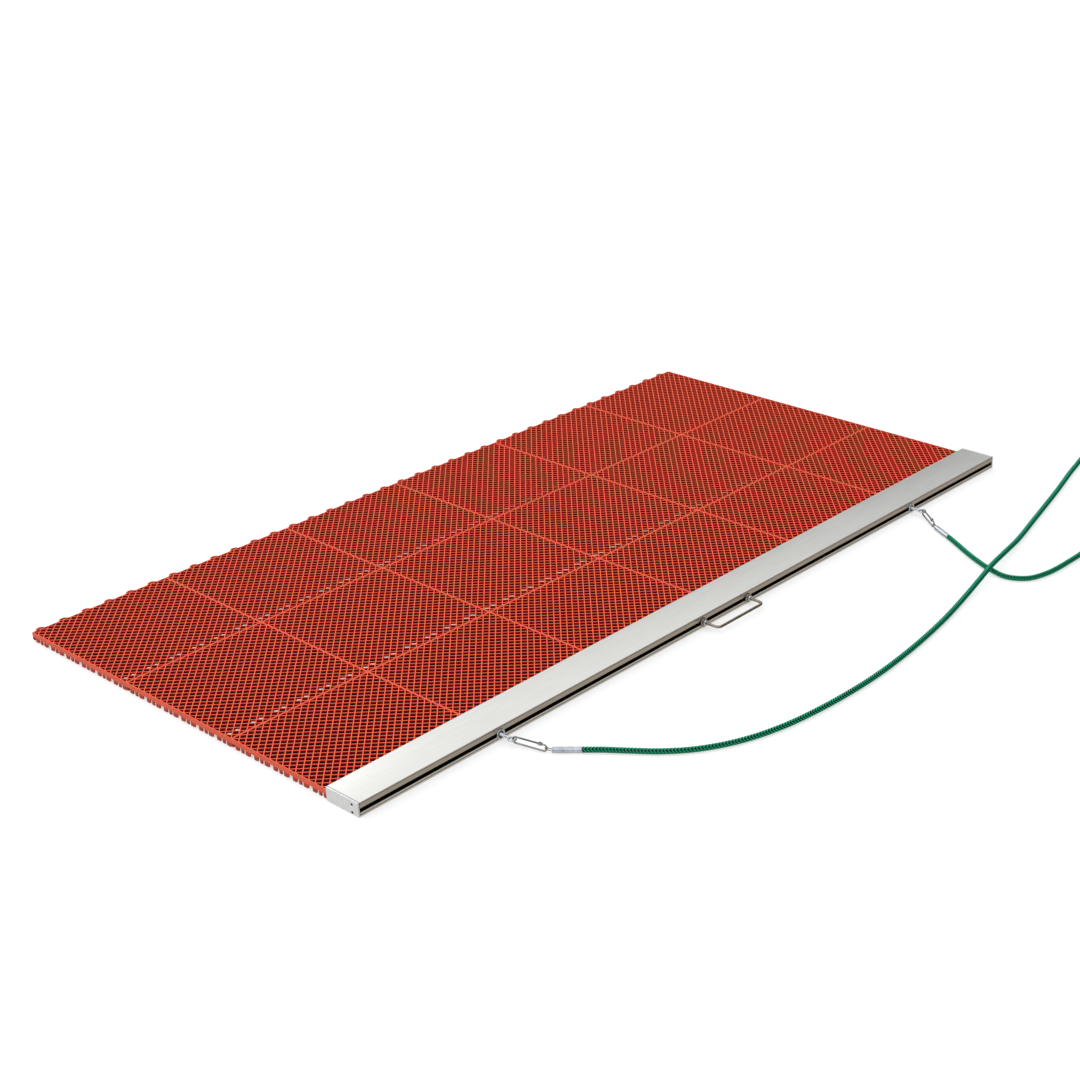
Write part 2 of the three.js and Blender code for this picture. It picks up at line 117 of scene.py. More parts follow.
def frames_along(path):
    """For each point of a path, two unit vectors across it that don't twist."""
    steps = np.gradient(np.asarray(path, float), axis=0)
    tangents = steps / np.linalg.norm(steps, axis=1)[:, None]
    side = np.cross(tangents[0], (0.0, 0.0, 1.0))
    if np.linalg.norm(side) < 0.1:
        side = np.cross(tangents[0], (0.0, 1.0, 0.0))
    across = []
    for tangent in tangents:
        side = side - tangent * (side @ tangent)
        side = side / np.linalg.norm(side)
        across.append((side, np.cross(side, tangent)))
    return across


def join_rings(shell, rings, closed=False):
    """Walls from each ring of points to the next, with the ends capped or joined to each other."""
    pairs = list(zip(rings, rings[1:]))
    if closed:
        pairs.append((rings[-1], rings[0]))
    else:
        shell.face(*reversed(rings[0]))
        shell.face(*rings[-1])
    for ring, following in pairs:
        for index in range(len(ring)):
            after = (index + 1) % len(ring)
            shell.face(ring[index], ring[after], following[after], following[index])


def add_tube(shell, path, radius, sides):
    """A capped round bar along a path. The radius may be one value for each point."""
    radii = np.broadcast_to(np.asarray(radius, float), (len(path),))
    angles = [2 * math.pi * step / sides for step in range(sides)]
    rings = [
        [tuple(point + side * size * math.cos(angle) + up * size * math.sin(angle)) for angle in angles]
        for point, (side, up), size in zip(np.asarray(path, float), frames_along(path), radii)
    ]
    join_rings(shell, rings[::-1])


def add_ring(shell, centre, radius, wire):
    """A round wire ring lying flat at a centre."""
    around, sides = 64, 20

    def at(i, j):
        turn, tilt = 2 * math.pi * i / around, 2 * math.pi * (j % sides) / sides
        reach = radius + wire * math.cos(tilt)
        return (centre[0] + reach * math.cos(turn), centre[1] + reach * math.sin(turn),
                centre[2] + wire * math.sin(tilt))

    for i in range(around):
        for j in range(sides):
            shell.face(at(i, j), at(i + 1, j), at(i + 1, j + 1), at(i, j + 1))


def hex_shape(across_flats):
    """A hexagon's radius at an angle."""
    return lambda angle: across_flats / 2 / math.cos((angle % (math.pi / 3)) - math.pi / 6)


def add_turned(shell, levels, matrix, sides):
    """Rings of (height, radius) about Y, joined in order. A last level of None closes them on themselves.

    A radius is a number, or a function of the angle.
    """
    closed = levels[-1] is None

    def point(height, radius, angle):
        reach = radius(angle) if callable(radius) else radius
        return tuple(matrix @ Vector((reach * math.sin(angle), height, reach * math.cos(angle))))

    rings = [
        [point(height, radius, 2 * math.pi * step / sides) for step in range(sides)]
        for height, radius in (levels[:-1] if closed else levels)
    ]
    join_rings(shell, rings, closed)


def add_prism(shell, outline, low, high, matrix):
    """A flat outline of (x, y) drawn out between two heights along Z."""
    join_rings(shell, [[tuple(matrix @ Vector((x, y, z))) for x, y in outline] for z in (low, high)])


def arc(centre, radius, start, end, count):
    """Points on an arc, in degrees."""
    return [
        (centre[0] + radius * math.cos(math.radians(start + (end - start) * step / count)),
         centre[1] + radius * math.sin(math.radians(start + (end - start) * step / count)))
        for step in range(count + 1)
    ]


def rounded(corners, count=4):
    """Corners of (x, y, radius) as an outline whose corners are arcs."""
    outline = []
    for index, (x, y, radius) in enumerate(corners):
        if radius == 0:
            outline.append((x, y))
            continue
        here = Vector((x, y))
        before = (Vector(corners[index - 1][:2]) - here).normalized()
        after = (Vector(corners[(index + 1) % len(corners)][:2]) - here).normalized()
        start, end = here + before * radius, here + after * radius
        for step in range(count + 1):
            share = step / count
            point = start * (1 - share) ** 2 + here * 2 * share * (1 - share) + end * share ** 2
            outline.append(tuple(point))
    return outline


# ---- material helpers ----
class Nodes:
    """A new node material with a Principled shader, and short calls to add to it."""

    def __init__(self, name, specular=0.5, **inputs):
        self.material = bpy.data.materials.new(name)
        self.material.use_nodes = True
        self.tree = self.material.node_tree
        self.shader = self.tree.nodes["Principled BSDF"]
        self.shader.inputs["Specular IOR Level"].default_value = specular
        for key, value in inputs.items():
            self.shader.inputs[key.replace("_", " ").title()].default_value = value

    def add(self, kind, inputs=None, **settings):
        """A node with its settings, and each input linked to a socket or set to a constant."""
        node = self.tree.nodes.new(kind)
        for key, value in settings.items():
            setattr(node, key, value)
        for key, value in (inputs or {}).items():
            if isinstance(value, bpy.types.NodeSocket):
                self.tree.links.new(value, node.inputs[key])
            else:
                node.inputs[key].default_value = value
        return node

    def place(self, scale):
        """Object coordinates in metres, stretched."""
        where = self.add("ShaderNodeTexCoord").outputs["Object"]
        return self.add("ShaderNodeMapping", {"Vector": where, "Scale": scale}).outputs["Vector"]

    def noise(self, scale, stretch=(1, 1, 1), detail=3.0, roughness=0.5):
        return self.add("ShaderNodeTexNoise", {
            "Vector": self.place(stretch), "Scale": scale, "Detail": detail, "Roughness": roughness,
        }).outputs["Fac"]

    def ramp(self, value, stops):
        node = self.add("ShaderNodeValToRGB", {"Fac": value})
        while len(node.color_ramp.elements) < len(stops):
            node.color_ramp.elements.new(0.5)
        for element, (position, colour) in zip(node.color_ramp.elements, stops):
            element.position = position
            element.color = (*colour, 1)
        return node.outputs["Color"]

    def between(self, value, low, high, new_low, new_high):
        return self.add("ShaderNodeMapRange", {
            "Value": value, "From Min": low, "From Max": high, "To Min": new_low, "To Max": new_high,
        }).outputs["Result"]

    def total(self, first, second):
        return self.add("ShaderNodeMath", {0: first, 1: second}, operation="ADD").outputs[0]

    def mix(self, share, first, second):
        """From the first colour to the second, each a socket or three constant values."""
        first, second = (
            colour if isinstance(colour, bpy.types.NodeSocket) else (*colour, 1) for colour in (first, second)
        )
        return self.add("ShaderNodeMix", {0: share, 6: first, 7: second}, data_type="RGBA").outputs[2]

    def bump(self, height, strength, distance):
        node = self.add("ShaderNodeBump", {"Height": height, "Strength": strength, "Distance": distance})
        self.link(node.outputs["Normal"], "Normal")

    def link(self, output, name):
        self.tree.links.new(output, self.shader.inputs[name])


def linear(red, green, blue):
    """A display colour of 0 to 255 as the linear values that shaders take."""
    def one(value):
        value = value / 255
        return value / 12.92 if value <= 0.04045 else ((value + 0.055) / 1.055) ** 2.4
    return (one(red), one(green), one(blue))


def shades(colour, darker, lighter):
    """A display colour made darker and lighter by that much, both linear."""
    return (linear(*(value - darker for value in colour)),
            linear(*(min(255, value + lighter) for value in colour)))


# ---- camera ----
def add_camera():
    """The photo's camera, solved from the mat's seams and the bar's corners."""
    data = bpy.data.cameras.new("camera")
    data.sensor_width = 36
    data.lens = 64.43
    data.shift_x = -0.0461
    data.shift_y = -0.0043
    data.clip_end = 50
    camera = bpy.data.objects.new("camera", data)
    right = Vector((0.682, -0.731, -0.032))
    up = Vector((0.325, 0.263, 0.909))
    forward = Vector((0.656, 0.630, -0.416))
    turn = Matrix((right, up, -forward)).transposed().to_4x4()
    camera.matrix_world = Matrix.Translation((-2.7631, -2.2792, 1.8202)) @ turn
    bpy.context.scene.collection.objects.link(camera)
    bpy.context.scene.camera = camera


# ---- floor and light ----
def add_floor():
    """A white floor that glows slightly and that reflections don't see, just under the part."""
    shell = Shell(sharp_degrees=None)
    half, drop = 14, 0.0004
    shell.face((-half, -half, 0), (half, -half, 0), (half, half, 0), (-half, half, 0))
    nodes = Nodes("floor_paint", specular=0.15, base_color=(0.55, 0.55, 0.55, 1), roughness=0.9,
                  emission_color=(1, 1, 1, 1), emission_strength=0.5)
    floor = bpy.data.objects.new("floor", shell.mesh("floor"))
    floor.data.materials.append(nodes.material)
    floor.location.z = -drop
    floor.visible_glossy = False
    bpy.context.scene.collection.objects.link(floor)


def add_light(name, place_at, aim, size, power, glossy=True):
    data = bpy.data.lights.new(name, "AREA")
    data.shape = "RECTANGLE"
    data.size, data.size_y = size
    data.energy = power
    lamp = bpy.data.objects.new(name, data)
    lamp.visible_glossy = glossy
    lamp.location = place_at
    lamp.rotation_euler = (Vector(aim) - Vector(place_at)).to_track_quat("-Z", "Y").to_euler()
    bpy.context.scene.collection.objects.link(lamp)


def add_world():
    """A studio dome for metal to reflect: bright overhead and behind on the left, and dim elsewhere."""
    world = bpy.data.worlds.new("studio")
    world.use_nodes = True
    nodes, links = world.node_tree.nodes, world.node_tree.links
    where = nodes.new("ShaderNodeTexCoord").outputs["Generated"]

    def towards(direction, start, end, first, last):
        """A colour that runs from the first to the last as the view turns towards a direction."""
        turn = nodes.new("ShaderNodeVectorMath")
        turn.operation = "DOT_PRODUCT"
        turn.inputs[1].default_value = direction
        links.new(where, turn.inputs[0])
        ramp = nodes.new("ShaderNodeMapRange")
        ramp.data_type = "FLOAT_VECTOR"
        vectors = [socket for socket in ramp.inputs if socket.type == "VECTOR"]
        spread = nodes.new("ShaderNodeCombineXYZ")
        for axis in range(3):
            links.new(turn.outputs["Value"], spread.inputs[axis])
        links.new(spread.outputs[0], vectors[0])
        for socket, value in zip(vectors[1:5], ((start,) * 3, (end,) * 3, first, last)):
            socket.default_value = value
        return ramp.outputs["Vector"]

    sky = towards((-0.8, 0.8, 1.6), 0.2, 0.77, (0.06, 0.06, 0.06), (0.9, 0.9, 0.9))
    ground = towards((-1.0, 0, 0), -0.2, 0.8, (0.46, 0.42, 0.37), (0.74, 0.74, 0.74))
    is_sky = towards((0, 0, 1.0), -0.05, 0.03, (0.0, 0.0, 0.0), (1.0, 1.0, 1.0))
    mix = nodes.new("ShaderNodeMix")
    mix.data_type = "VECTOR"
    mix.factor_mode = "NON_UNIFORM"
    for name, output in (("Factor_Vector", is_sky), ("A_Vector", ground), ("B_Vector", sky)):
        links.new(output, next(socket for socket in mix.inputs if socket.identifier == name))
    result = next(socket for socket in mix.outputs if socket.identifier == "Result_Vector")
    links.new(result, nodes["Background"].inputs["Color"])
    nodes["Background"].inputs["Strength"].default_value = 1.35
    bpy.context.scene.world = world


def add_lights():
    add_world()
    add_light("back_softbox", (0.4, 5.2, 2.8), (-0.5, 0, 0), (4.0, 1.8), 30)
    add_light("left_softbox", (-4.4, 0.6, 1.5), (0, 0.4, 0), (3.2, 1.6), 15)
    add_light("front_fill", (0.6, -4.5, 2.6), (0, -0.2, 0), (5.0, 2.0), 50, glossy=False)
    bpy.context.scene.view_settings.view_transform = "Standard"


# ---- tow rope ----
ROPE_DIAMETER = 0.012
ROPE_REST_Z = 0.0063
# The route between the ferrules in millimetres: x, y behind the bar's front face, and z where it is raised.
ROPE_ROUTE = (
    (-572, -177), (-545, -214), (-508, -262), (-460, -306), (-390, -346), (-300, -374), (-180, -390),
    (-40, -394), (100, -384), (240, -364), (345, -343, 7.2), (430, -327, 13.5), (507, -312, 19.2),
    (590, -293, 13.5), (675, -273, 7.2), (800, -241), (960, -200), (1110, -159), (1230, -134), (1320, -141),
    (1378, -190), (1386, -262), (1340, -326), (1250, -372), (1120, -400), (960, -412), (800, -414),
    (660, -416), (570, -410), (520, -391), (499, -354), (508, -308), (536, -245), (566, -192),
)
EYE_X = 0.660
EYE_REACH = 0.031
EYE_RING_RADIUS = 0.0069
EYE_WIRE = 0.002
SLOT_Z = 0.01275
STUD_BACK = 0.0088  # how far the eye bolts' and the bow's threads reach behind the front face
HOOK_RADIUS = 0.0065
HOOK_WIRE = 0.0017
HOOK_OFFSET = 0.0012
HOOK_STRAIGHT = 0.056
HOOK_PITCH = 3.85
HOOK_NOSE = 0.008
GATE_PIN = 0.048
CHEEK_FRONT = 0.005  # the hook's cheek plates: how far they reach past the gate's pin
CHEEK_HALF = 0.0024
CHEEK_INSIDE = 0.0012
CHEEK_OUTSIDE = 0.0027
HOOK_YAW = {"left": 18, "right": -34}
ROPE_END_YAW = {"left": 40, "right": -27}
WIRE_LOOP_LENGTH = 0.009
WIRE_LOOP_RADIUS = 0.0033
LOOP_WIRE = 0.001
FERRULE_LENGTH = 0.056
FERRULE_RADIUS = 0.0058
FERRULE_Z = 0.0061
GAP = 0.0003


def heading(degrees):
    """The unit vector at an angle in plan, counted from -Y towards +X."""
    return Vector((math.sin(math.radians(degrees)), -math.cos(math.radians(degrees)), 0))


def pointing(origin, yaw, drop):
    """A frame whose +X points along a heading in degrees, and then down by an angle."""
    turn = Matrix.Rotation(math.radians(yaw - 90), 4, "Z") @ Matrix.Rotation(drop, 4, "Y")
    return Matrix.Translation(origin) @ turn


def hook_frame(side, sign):
    """A snap hook's own frame: +X towards the rope, +Z to the gate's side."""
    eye = Vector((sign * EYE_X, FRONT_Y - EYE_REACH, SLOT_Z))
    origin = eye + heading(HOOK_YAW[side]) * EYE_RING_RADIUS
    return pointing(origin, HOOK_YAW[side], math.radians(HOOK_PITCH))


def rope_end(side, sign):
    """Where the hook's far end, the ferrule's start and the rope's end lie."""
    far = hook_frame(side, sign) @ Vector((HOOK_OFFSET + HOOK_STRAIGHT + HOOK_RADIUS, 0, 0))
    along = heading(ROPE_END_YAW[side])
    start = far + along * WIRE_LOOP_LENGTH
    start.z = FERRULE_Z
    return far, start, start + along * (FERRULE_LENGTH + GAP), along


def smooth_path(points, step):
    """A centripetal Catmull-Rom curve through the points, at about one step apart."""
    points = [np.asarray(point, float) for point in points]
    points = [2 * points[0] - points[1], *points, 2 * points[-1] - points[-2]]
    path = []
    for a, b, c, d in zip(points, points[1:], points[2:], points[3:]):
        t0 = 0.0
        t1 = t0 + np.linalg.norm(b - a) ** 0.5
        t2 = t1 + np.linalg.norm(c - b) ** 0.5
        t3 = t2 + np.linalg.norm(d - c) ** 0.5
        count = max(2, round(np.linalg.norm(c - b) / step))
        for t in np.linspace(t1, t2, count, endpoint=False):
            ab = (a * (t1 - t) + b * (t - t0)) / (t1 - t0)
            bc = (b * (t2 - t) + c * (t - t1)) / (t2 - t1)
            cd = (c * (t3 - t) + d * (t - t2)) / (t3 - t2)
            abc = (ab * (t2 - t) + bc * (t - t0)) / (t2 - t0)
            bcd = (bc * (t3 - t) + cd * (t - t1)) / (t3 - t1)
            path.append((abc * (t2 - t) + bcd * (t - t1)) / (t2 - t1))
    path.append(points[-2])
    return np.array(path)


def rope_path():
    """The rope's middle line from the left ferrule to the right one, straight where it leaves them."""
    route = [(x * MM, FRONT_Y + y * MM, *([z * MM for z in rise] or [ROPE_REST_Z])) for x, y, *rise in ROPE_ROUTE]
    pairs = []
    for side, sign in SIDES:
        _, _, end, along = rope_end(side, sign)
        pairs.append([end.copy(), end + along * ROPE_DIAMETER])
        for point in pairs[-1]:
            point.z = ROPE_REST_Z
    left, right = pairs
    return smooth_path([*left, *route, *reversed(right)], 0.0009)


BRAID_COLUMNS = 4  # zigzag columns round the rope, which make its chevrons
BRAID_TURN = 0.5  # where the first column starts, in columns
BRAID_PERIOD = 0.0064  # length from one strand to the next
BRAID_SLANT = 1.3  # how far a strand runs along the rope in one column, in periods
BRAID_DEPTH = 0.0014
BRAID_SHOULDER = 0.72  # a strand's height at its column's edges, as a share of its middle's


def braid_height(turn, along):
    """The braid's surface, 0 in the grooves to 1 on the strands, and which way each column slants."""
    column = np.floor(turn * BRAID_COLUMNS + BRAID_TURN)
    share = turn * BRAID_COLUMNS + BRAID_TURN - column
    way = column % 2
    across = (along / BRAID_PERIOD + BRAID_SLANT * np.where(way > 0, 1 - share, share)) % 1
    crown = BRAID_SHOULDER + (1 - BRAID_SHOULDER) * np.sin(math.pi * share)
    height = np.sin(math.pi * across) * crown
    return height, np.broadcast_to(way, height.shape)


def add_rope(material):
    """The braided rope, with the sleeves and loops on its ends."""
    path = rope_path()
    sides = 40
    along = np.concatenate([[0], np.cumsum(np.linalg.norm(np.diff(path, axis=0), axis=1))])
    turns = np.arange(sides) / sides
    height, way = braid_height(turns[None, :], along[:, None])
    radii = ROPE_DIAMETER / 2 - BRAID_DEPTH * (1 - height)
    side, up = (np.array(vectors)[:, None, :] for vectors in zip(*frames_along(path)))
    angles = 2 * math.pi * turns[None, :, None]
    points = path[:, None, :] + radii[..., None] * (side * np.cos(angles) + up * np.sin(angles))
    rings = len(path)
    ring, step = np.meshgrid(np.arange(rings - 1) * sides, np.arange(sides), indexing="ij")
    after = (step + 1) % sides
    quads = np.stack([ring + step, ring + sides + step, ring + sides + after, ring + after], -1)
    faces = quads.reshape(-1, 4).tolist()
    faces += [list(range(sides)), [(rings - 1) * sides + k for k in reversed(range(sides))]]
    mesh = bpy.data.meshes.new("tow_rope_braid")
    mesh.from_pydata(points.reshape(-1, 3).tolist(), [], faces)
    mesh.polygons.foreach_set("use_smooth", [True] * len(mesh.polygons))
    for name, values in (("braid_height", height), ("braid_way", way)):
        attribute = mesh.attributes.new(name, "FLOAT", "POINT")
        attribute.data.foreach_set("value", values.astype(np.float32).ravel())
    mesh.update()
    rope = place("tow_rope_braid", mesh, material, "tow_rope_set", "tow_rope")
    fitted = [add(name, sign) for add in (add_ferrule, add_wire_loop) for name, sign in SIDES]


def rope_material():
    """Green fibres, with painted shade that darkens the grooves between the strands, and painted light that makes
    the strands slanting one way lighter than the others.
    """
    nodes = Nodes("green_braid", specular=0.12, roughness=0.6)
    height = nodes.add("ShaderNodeAttribute", attribute_name="braid_height").outputs["Fac"]
    way = nodes.add("ShaderNodeAttribute", attribute_name="braid_way").outputs["Fac"]
    # Painted light: strands that slant one way are lighter than those that slant the other way.
    painted_lit_strands = nodes.mix(way, linear(2, 154, 110), linear(10, 192, 142))
    fibres = nodes.noise(1100, detail=2)
    painted_lit_strands = nodes.mix(nodes.between(fibres, 0.4, 0.7, 0.0, 0.2), painted_lit_strands, linear(60, 222, 172))
    # Painted shade: the grooves between the strands turn nearly black.
    colour = nodes.mix(nodes.between(height, 0.6, 0.84, 0.0, 1.0), linear(0, 5, 3), painted_lit_strands)
    nodes.link(colour, "Base Color")
    nodes.bump(fibres, 0.35, 0.0004)
    return nodes.material


# ---- hardware materials ----
def zinc_material(name, colour, roughness):
    """Zinc plate or another plain metal, with faint cloudy patches."""
    nodes = Nodes(name, metallic=1.0)
    patches = nodes.noise(70, detail=3)
    low, high = shades(colour, 12, 10)
    nodes.link(nodes.ramp(patches, ((0.35, low), (0.65, high))), "Base Color")
    nodes.link(nodes.between(patches, 0.3, 0.7, roughness - 0.05, roughness + 0.08), "Roughness")
    nodes.bump(nodes.noise(900, detail=2), 0.06, 0.0002)
    return nodes.material


def stainless_material():
    """Polished wire, with faint marks along the way it was drawn."""
    nodes = Nodes("stainless_wire", metallic=1.0)
    drawn = nodes.noise(90, stretch=(1, 1, 6), detail=5)
    nodes.link(nodes.ramp(drawn, ((0.3, linear(120, 110, 99)), (0.7, linear(164, 156, 146)))), "Base Color")
    nodes.link(nodes.between(drawn, 0.3, 0.7, 0.08, 0.18), "Roughness")
    nodes.bump(nodes.noise(1200), 0.08, 0.0002)
    return nodes.material


def aluminium_material(name, colour, stretch=(0.35, 26, 26), roughness=0.34):
    """Anodised aluminium, with fine lines along the way it was drawn."""
    nodes = Nodes(name, metallic=1.0)
    lines = nodes.noise(38, stretch=stretch, detail=6, roughness=0.7)
    clouds = nodes.noise(3.5, detail=3)
    low, high = shades(colour, 16, 8)
    nodes.link(nodes.ramp(lines, ((0.25, low), (0.75, high))), "Base Color")
    drawn = nodes.between(lines, 0.3, 0.7, roughness - 0.05, roughness + 0.07)
    nodes.link(nodes.total(drawn, nodes.between(clouds, 0.3, 0.7, -0.03, 0.04)), "Roughness")
    nodes.bump(lines, 0.10, 0.0003)
    return nodes.material


# ---- rope ends ----
def add_ferrule(side, sign):
    """A crimped sleeve with three pressed rings and rounded ends."""
    _, start, _, along = rope_end(side, sign)
    steps, rings, ring_depth = 90, 3, 0.00035
    end_share, end_drop = 0.03, 0.0009
    path, radii = [], []
    for step in range(steps + 1):
        share = step / steps
        path.append(start + along * (FERRULE_LENGTH * share))
        ease = min(1.0, share / end_share, (1 - share) / end_share)
        ring = max(0.0, math.sin(2 * math.pi * rings * share)) ** 4
        radii.append(FERRULE_RADIUS - end_drop * (1 - ease) ** 2 - ring_depth * ring)
    shell = Shell(sharp_degrees=50)
    add_tube(shell, path, radii, sides=40)
    return place(f"ferrule_{side}_sleeve", shell, FERRULE, "tow_rope_set", f"ferrule_{side}")


def add_wire_loop(side, sign):
    """The thin bent wire between a snap hook and a ferrule."""
    far = rope_end(side, sign)[0]
    matrix = pointing(far, ROPE_END_YAW[side], math.atan2(far.z - FERRULE_Z, WIRE_LOOP_LENGTH))
    end, half = WIRE_LOOP_LENGTH - 2 * GAP, WIRE_LOOP_RADIUS
    plan = [(end, -half), (end / 2, -half), *arc((0, 0), half, 270, 90, 16), (end / 2, half), (end, half)]
    path = smooth_path([tuple(matrix @ Vector((x, y, 0))) for x, y in plan], 0.0004)
    shell = Shell()
    add_tube(shell, path, LOOP_WIRE, sides=16)
    return place(f"wire_loop_{side}_bend", shell, STAINLESS, "tow_rope_set", f"wire_loop_{side}")


# ---- snap hooks ----
def hook_side(points, matrix):
    """Points of a hook's side view, as places in the row frame."""
    return [tuple(matrix @ Vector((x + HOOK_OFFSET, 0, z))) for x, z in points]


def plate_outline(low, high, half, low_round, high_round):
    """A small plate from low to high, reaching half its width to either side, with rounded corners."""
    return rounded([(low, -half, low_round), (high, -half, high_round), (high, half, high_round),
                    (low, half, low_round)], 5)


def add_snap_hook(side, sign):
    """A long wire hook, its sprung gate with a flat tongue, and the rivet that the gate turns on."""
    matrix = hook_frame(side, sign)
    length, half = HOOK_STRAIGHT, HOOK_RADIUS
    wire = [
        (GATE_PIN + 0.0035, half), (length - 0.001, half), *arc((length, 0), half, 90, -90, 18),
        (length * 0.75, -half), (length / 2, -half), (length / 4, -half), *arc((0, 0), half, 270, 90, 18),
        (HOOK_NOSE / 2, half), (HOOK_NOSE, half),
    ]
    frame_shell = Shell()
    add_tube(frame_shell, smooth_path(hook_side(wire, matrix), 0.0008), HOOK_WIRE, sides=24)
    upright = matrix @ Matrix.Translation((HOOK_OFFSET, 0, half)) @ Matrix.Rotation(math.radians(90), 4, "X")
    cheek = plate_outline(GATE_PIN - 0.0033, GATE_PIN + CHEEK_FRONT, CHEEK_HALF, 0.002, 0.002)
    for low, high in ((-CHEEK_OUTSIDE, -CHEEK_INSIDE), (CHEEK_INSIDE, CHEEK_OUTSIDE)):
        add_prism(frame_shell, cheek, low, high, upright)
    bridge = plate_outline(GATE_PIN + 0.003, GATE_PIN + CHEEK_FRONT, CHEEK_HALF, 0, 0)
    add_prism(frame_shell, bridge, -0.0020, 0.0020, upright)
    place(f"snap_hook_{side}_frame", frame_shell, ZINC_DULL, "tow_rope_set", f"snap_hook_{side}")

    gate = Shell()
    start, end = HOOK_NOSE + GAP, GATE_PIN - 0.0042
    steps, tip_share = 20, 0.82
    line = [(start + (end - start) * step / steps, half) for step in range(steps + 1)]
    add_tube(gate, hook_side(line, matrix), [HOOK_WIRE * tip_share] + [HOOK_WIRE] * steps, sides=24)
    tongue = plate_outline(end - 0.002, GATE_PIN + 0.0016, 0.0016, 0.0006, 0.0014)
    add_prism(gate, tongue, -0.0009, 0.0009, upright)
    place(f"snap_gate_{side}_wire", gate, ZINC_DARK, f"gate_{side}", f"snap_gate_{side}")

    pin = Shell()
    across = matrix @ Matrix.Translation((HOOK_OFFSET + GATE_PIN, 0, half))
    levels = [(-0.0029, 0.0006), (-0.0027, 0.00085), (0.0027, 0.00085), (0.0029, 0.0006)]
    add_turned(pin, levels, across, sides=20)
    place(f"gate_pin_{side}_rivet", pin, ZINC, "tow_rope_set", f"gate_pin_{side}")


# ---- eye bolts ----
def add_eye_bolt(side, sign):
    """An eye on a threaded stud, and the dished washer behind it, with painted shade in the washer's dish."""
    matrix = Matrix.Translation((sign * EYE_X, FRONT_Y, SLOT_Z))
    shell = Shell()
    add_ring(shell, tuple(matrix @ Vector((0, -EYE_REACH, 0))), EYE_RING_RADIUS, EYE_WIRE)
    neck = -EYE_REACH + EYE_RING_RADIUS
    crest, root, pitch = 0.003, 0.00262, 0.001
    levels = [(neck, 0.0021), (neck + 0.002, 0.0026), (neck + 0.004, crest)]
    height = neck + 0.009
    while height < STUD_BACK - 0.0004:
        levels += [(height, crest), (height + pitch / 2, root)]
        height += pitch
    levels.append((STUD_BACK, 0.0024))
    add_turned(shell, levels, matrix, sides=28)
    place(f"eye_bolt_{side}_ring", shell, ZINC, "bar_and_front_row", f"eye_bolt_{side}")

    washer = Shell()
    hole, dish = 0.0033, 0.0066
    profile = [(-GAP, hole), (-0.0013, hole), (-0.0013, 0.0062), (-0.0017, 0.0070), (-0.0024, 0.0076),
               (-0.0027, 0.0082), (-0.0027, 0.0093), (-0.0024, 0.0098), (-0.0019, 0.0100), (-0.0005, 0.0100),
               (-GAP, 0.0098)]
    add_turned(washer, [*profile, None], matrix, sides=64)
    mesh = washer.mesh(f"eye_washer_{side}_dish")
    # Painted shade: the faces inside the dish radius take the darker zinc.
    for polygon in mesh.polygons:
        offset = polygon.center - matrix.translation
        polygon.material_index = int(math.hypot(offset.x, offset.z) < dish)
    place(f"eye_washer_{side}_dish", mesh, (ZINC, ZINC_DARK), "bar_and_front_row", f"eye_washer_{side}")


# ---- hand bow ----
HANDLE_X = -0.007
HANDLE_SPACING = 0.144
HANDLE_REACH = 0.041
HANDLE_CORNER = 0.010
HANDLE_WIRE = 0.003


def add_nut(name, side, x, across_flats, hole, low, high, material):
    """A hex nut about Y, chamfered on both faces."""
    shell = Shell(sharp_degrees=25)
    face = across_flats / 2 * 0.97
    chamfer = min(0.0007, (high - low) / 4)
    flats = hex_shape(across_flats)
    levels = [(low, hole), (low, face), (low + chamfer, flats), (high - chamfer, flats), (high, face),
              (high, hole), None]
    add_turned(shell, levels, Matrix.Translation((x, FRONT_Y, SLOT_Z)), sides=72)
    place(f"{name}_{side}_hex", shell, material, "bar_and_front_row", f"{name}_{side}")


def add_handle():
    """The bent wire bow with a large nut and a lock nut on each leg."""
    half = HANDLE_SPACING / 2
    corner, front = half - HANDLE_CORNER, -HANDLE_REACH + HANDLE_CORNER
    plan = [
        (-half, STUD_BACK), (-half, 0), (-half, front + 0.008),
        *arc((-corner, front), HANDLE_CORNER, 180, 270, 10),
        (-corner / 2, -HANDLE_REACH), (0, -HANDLE_REACH), (corner / 2, -HANDLE_REACH),
        *arc((corner, front), HANDLE_CORNER, 270, 360, 10),
        (half, front + 0.008), (half, 0), (half, STUD_BACK),
    ]
    path = smooth_path([(HANDLE_X + x, FRONT_Y + y, SLOT_Z) for x, y in plan], 0.0012)
    shell = Shell()
    add_tube(shell, path, HANDLE_WIRE, sides=32)
    place("handle_bow_wire", shell, STAINLESS, "bar_and_front_row", "handle_bow")
    hole = HANDLE_WIRE + GAP
    base, lock = 0.003, 0.005  # thicknesses
    middle = -GAP - base
    for side, sign in SIDES:
        x = HANDLE_X + sign * half
        add_nut("handle_base_nut", side, x, 0.019, hole, middle, -GAP, STAINLESS)
        add_nut("handle_lock_nut", side, x, 0.011, hole, middle - GAP - lock, middle - GAP, ZINC)


# ---- drag bar ----
BAR_BOX_DEPTH = 0.0285
BAR_DEPTH = BAR_HIGH.y - BAR_LOW.y
FLANGE_Z = 0.020
SLOT_OPENING = 0.0085
SLOT_LIP = 0.0035
SLOT_CAVITY_HEIGHT = 0.0175
SLOT_CAVITY_BACK = 0.011
EDGE = 0.0008
SCRIBED_LINES = ((0.026, 0.0004, 0.0005), (0.0044, 0.0007, 0.0006))  # z, half the width, depth
# The bar's looks: the anodised finish, painted shade on the front faces above the slot, and darker painted shade
# in the slot, the scribed lines and along the bottom edge.
ANODISED, FRONT_PAINTED_SHADE, PAINTED_SHADE = range(3)


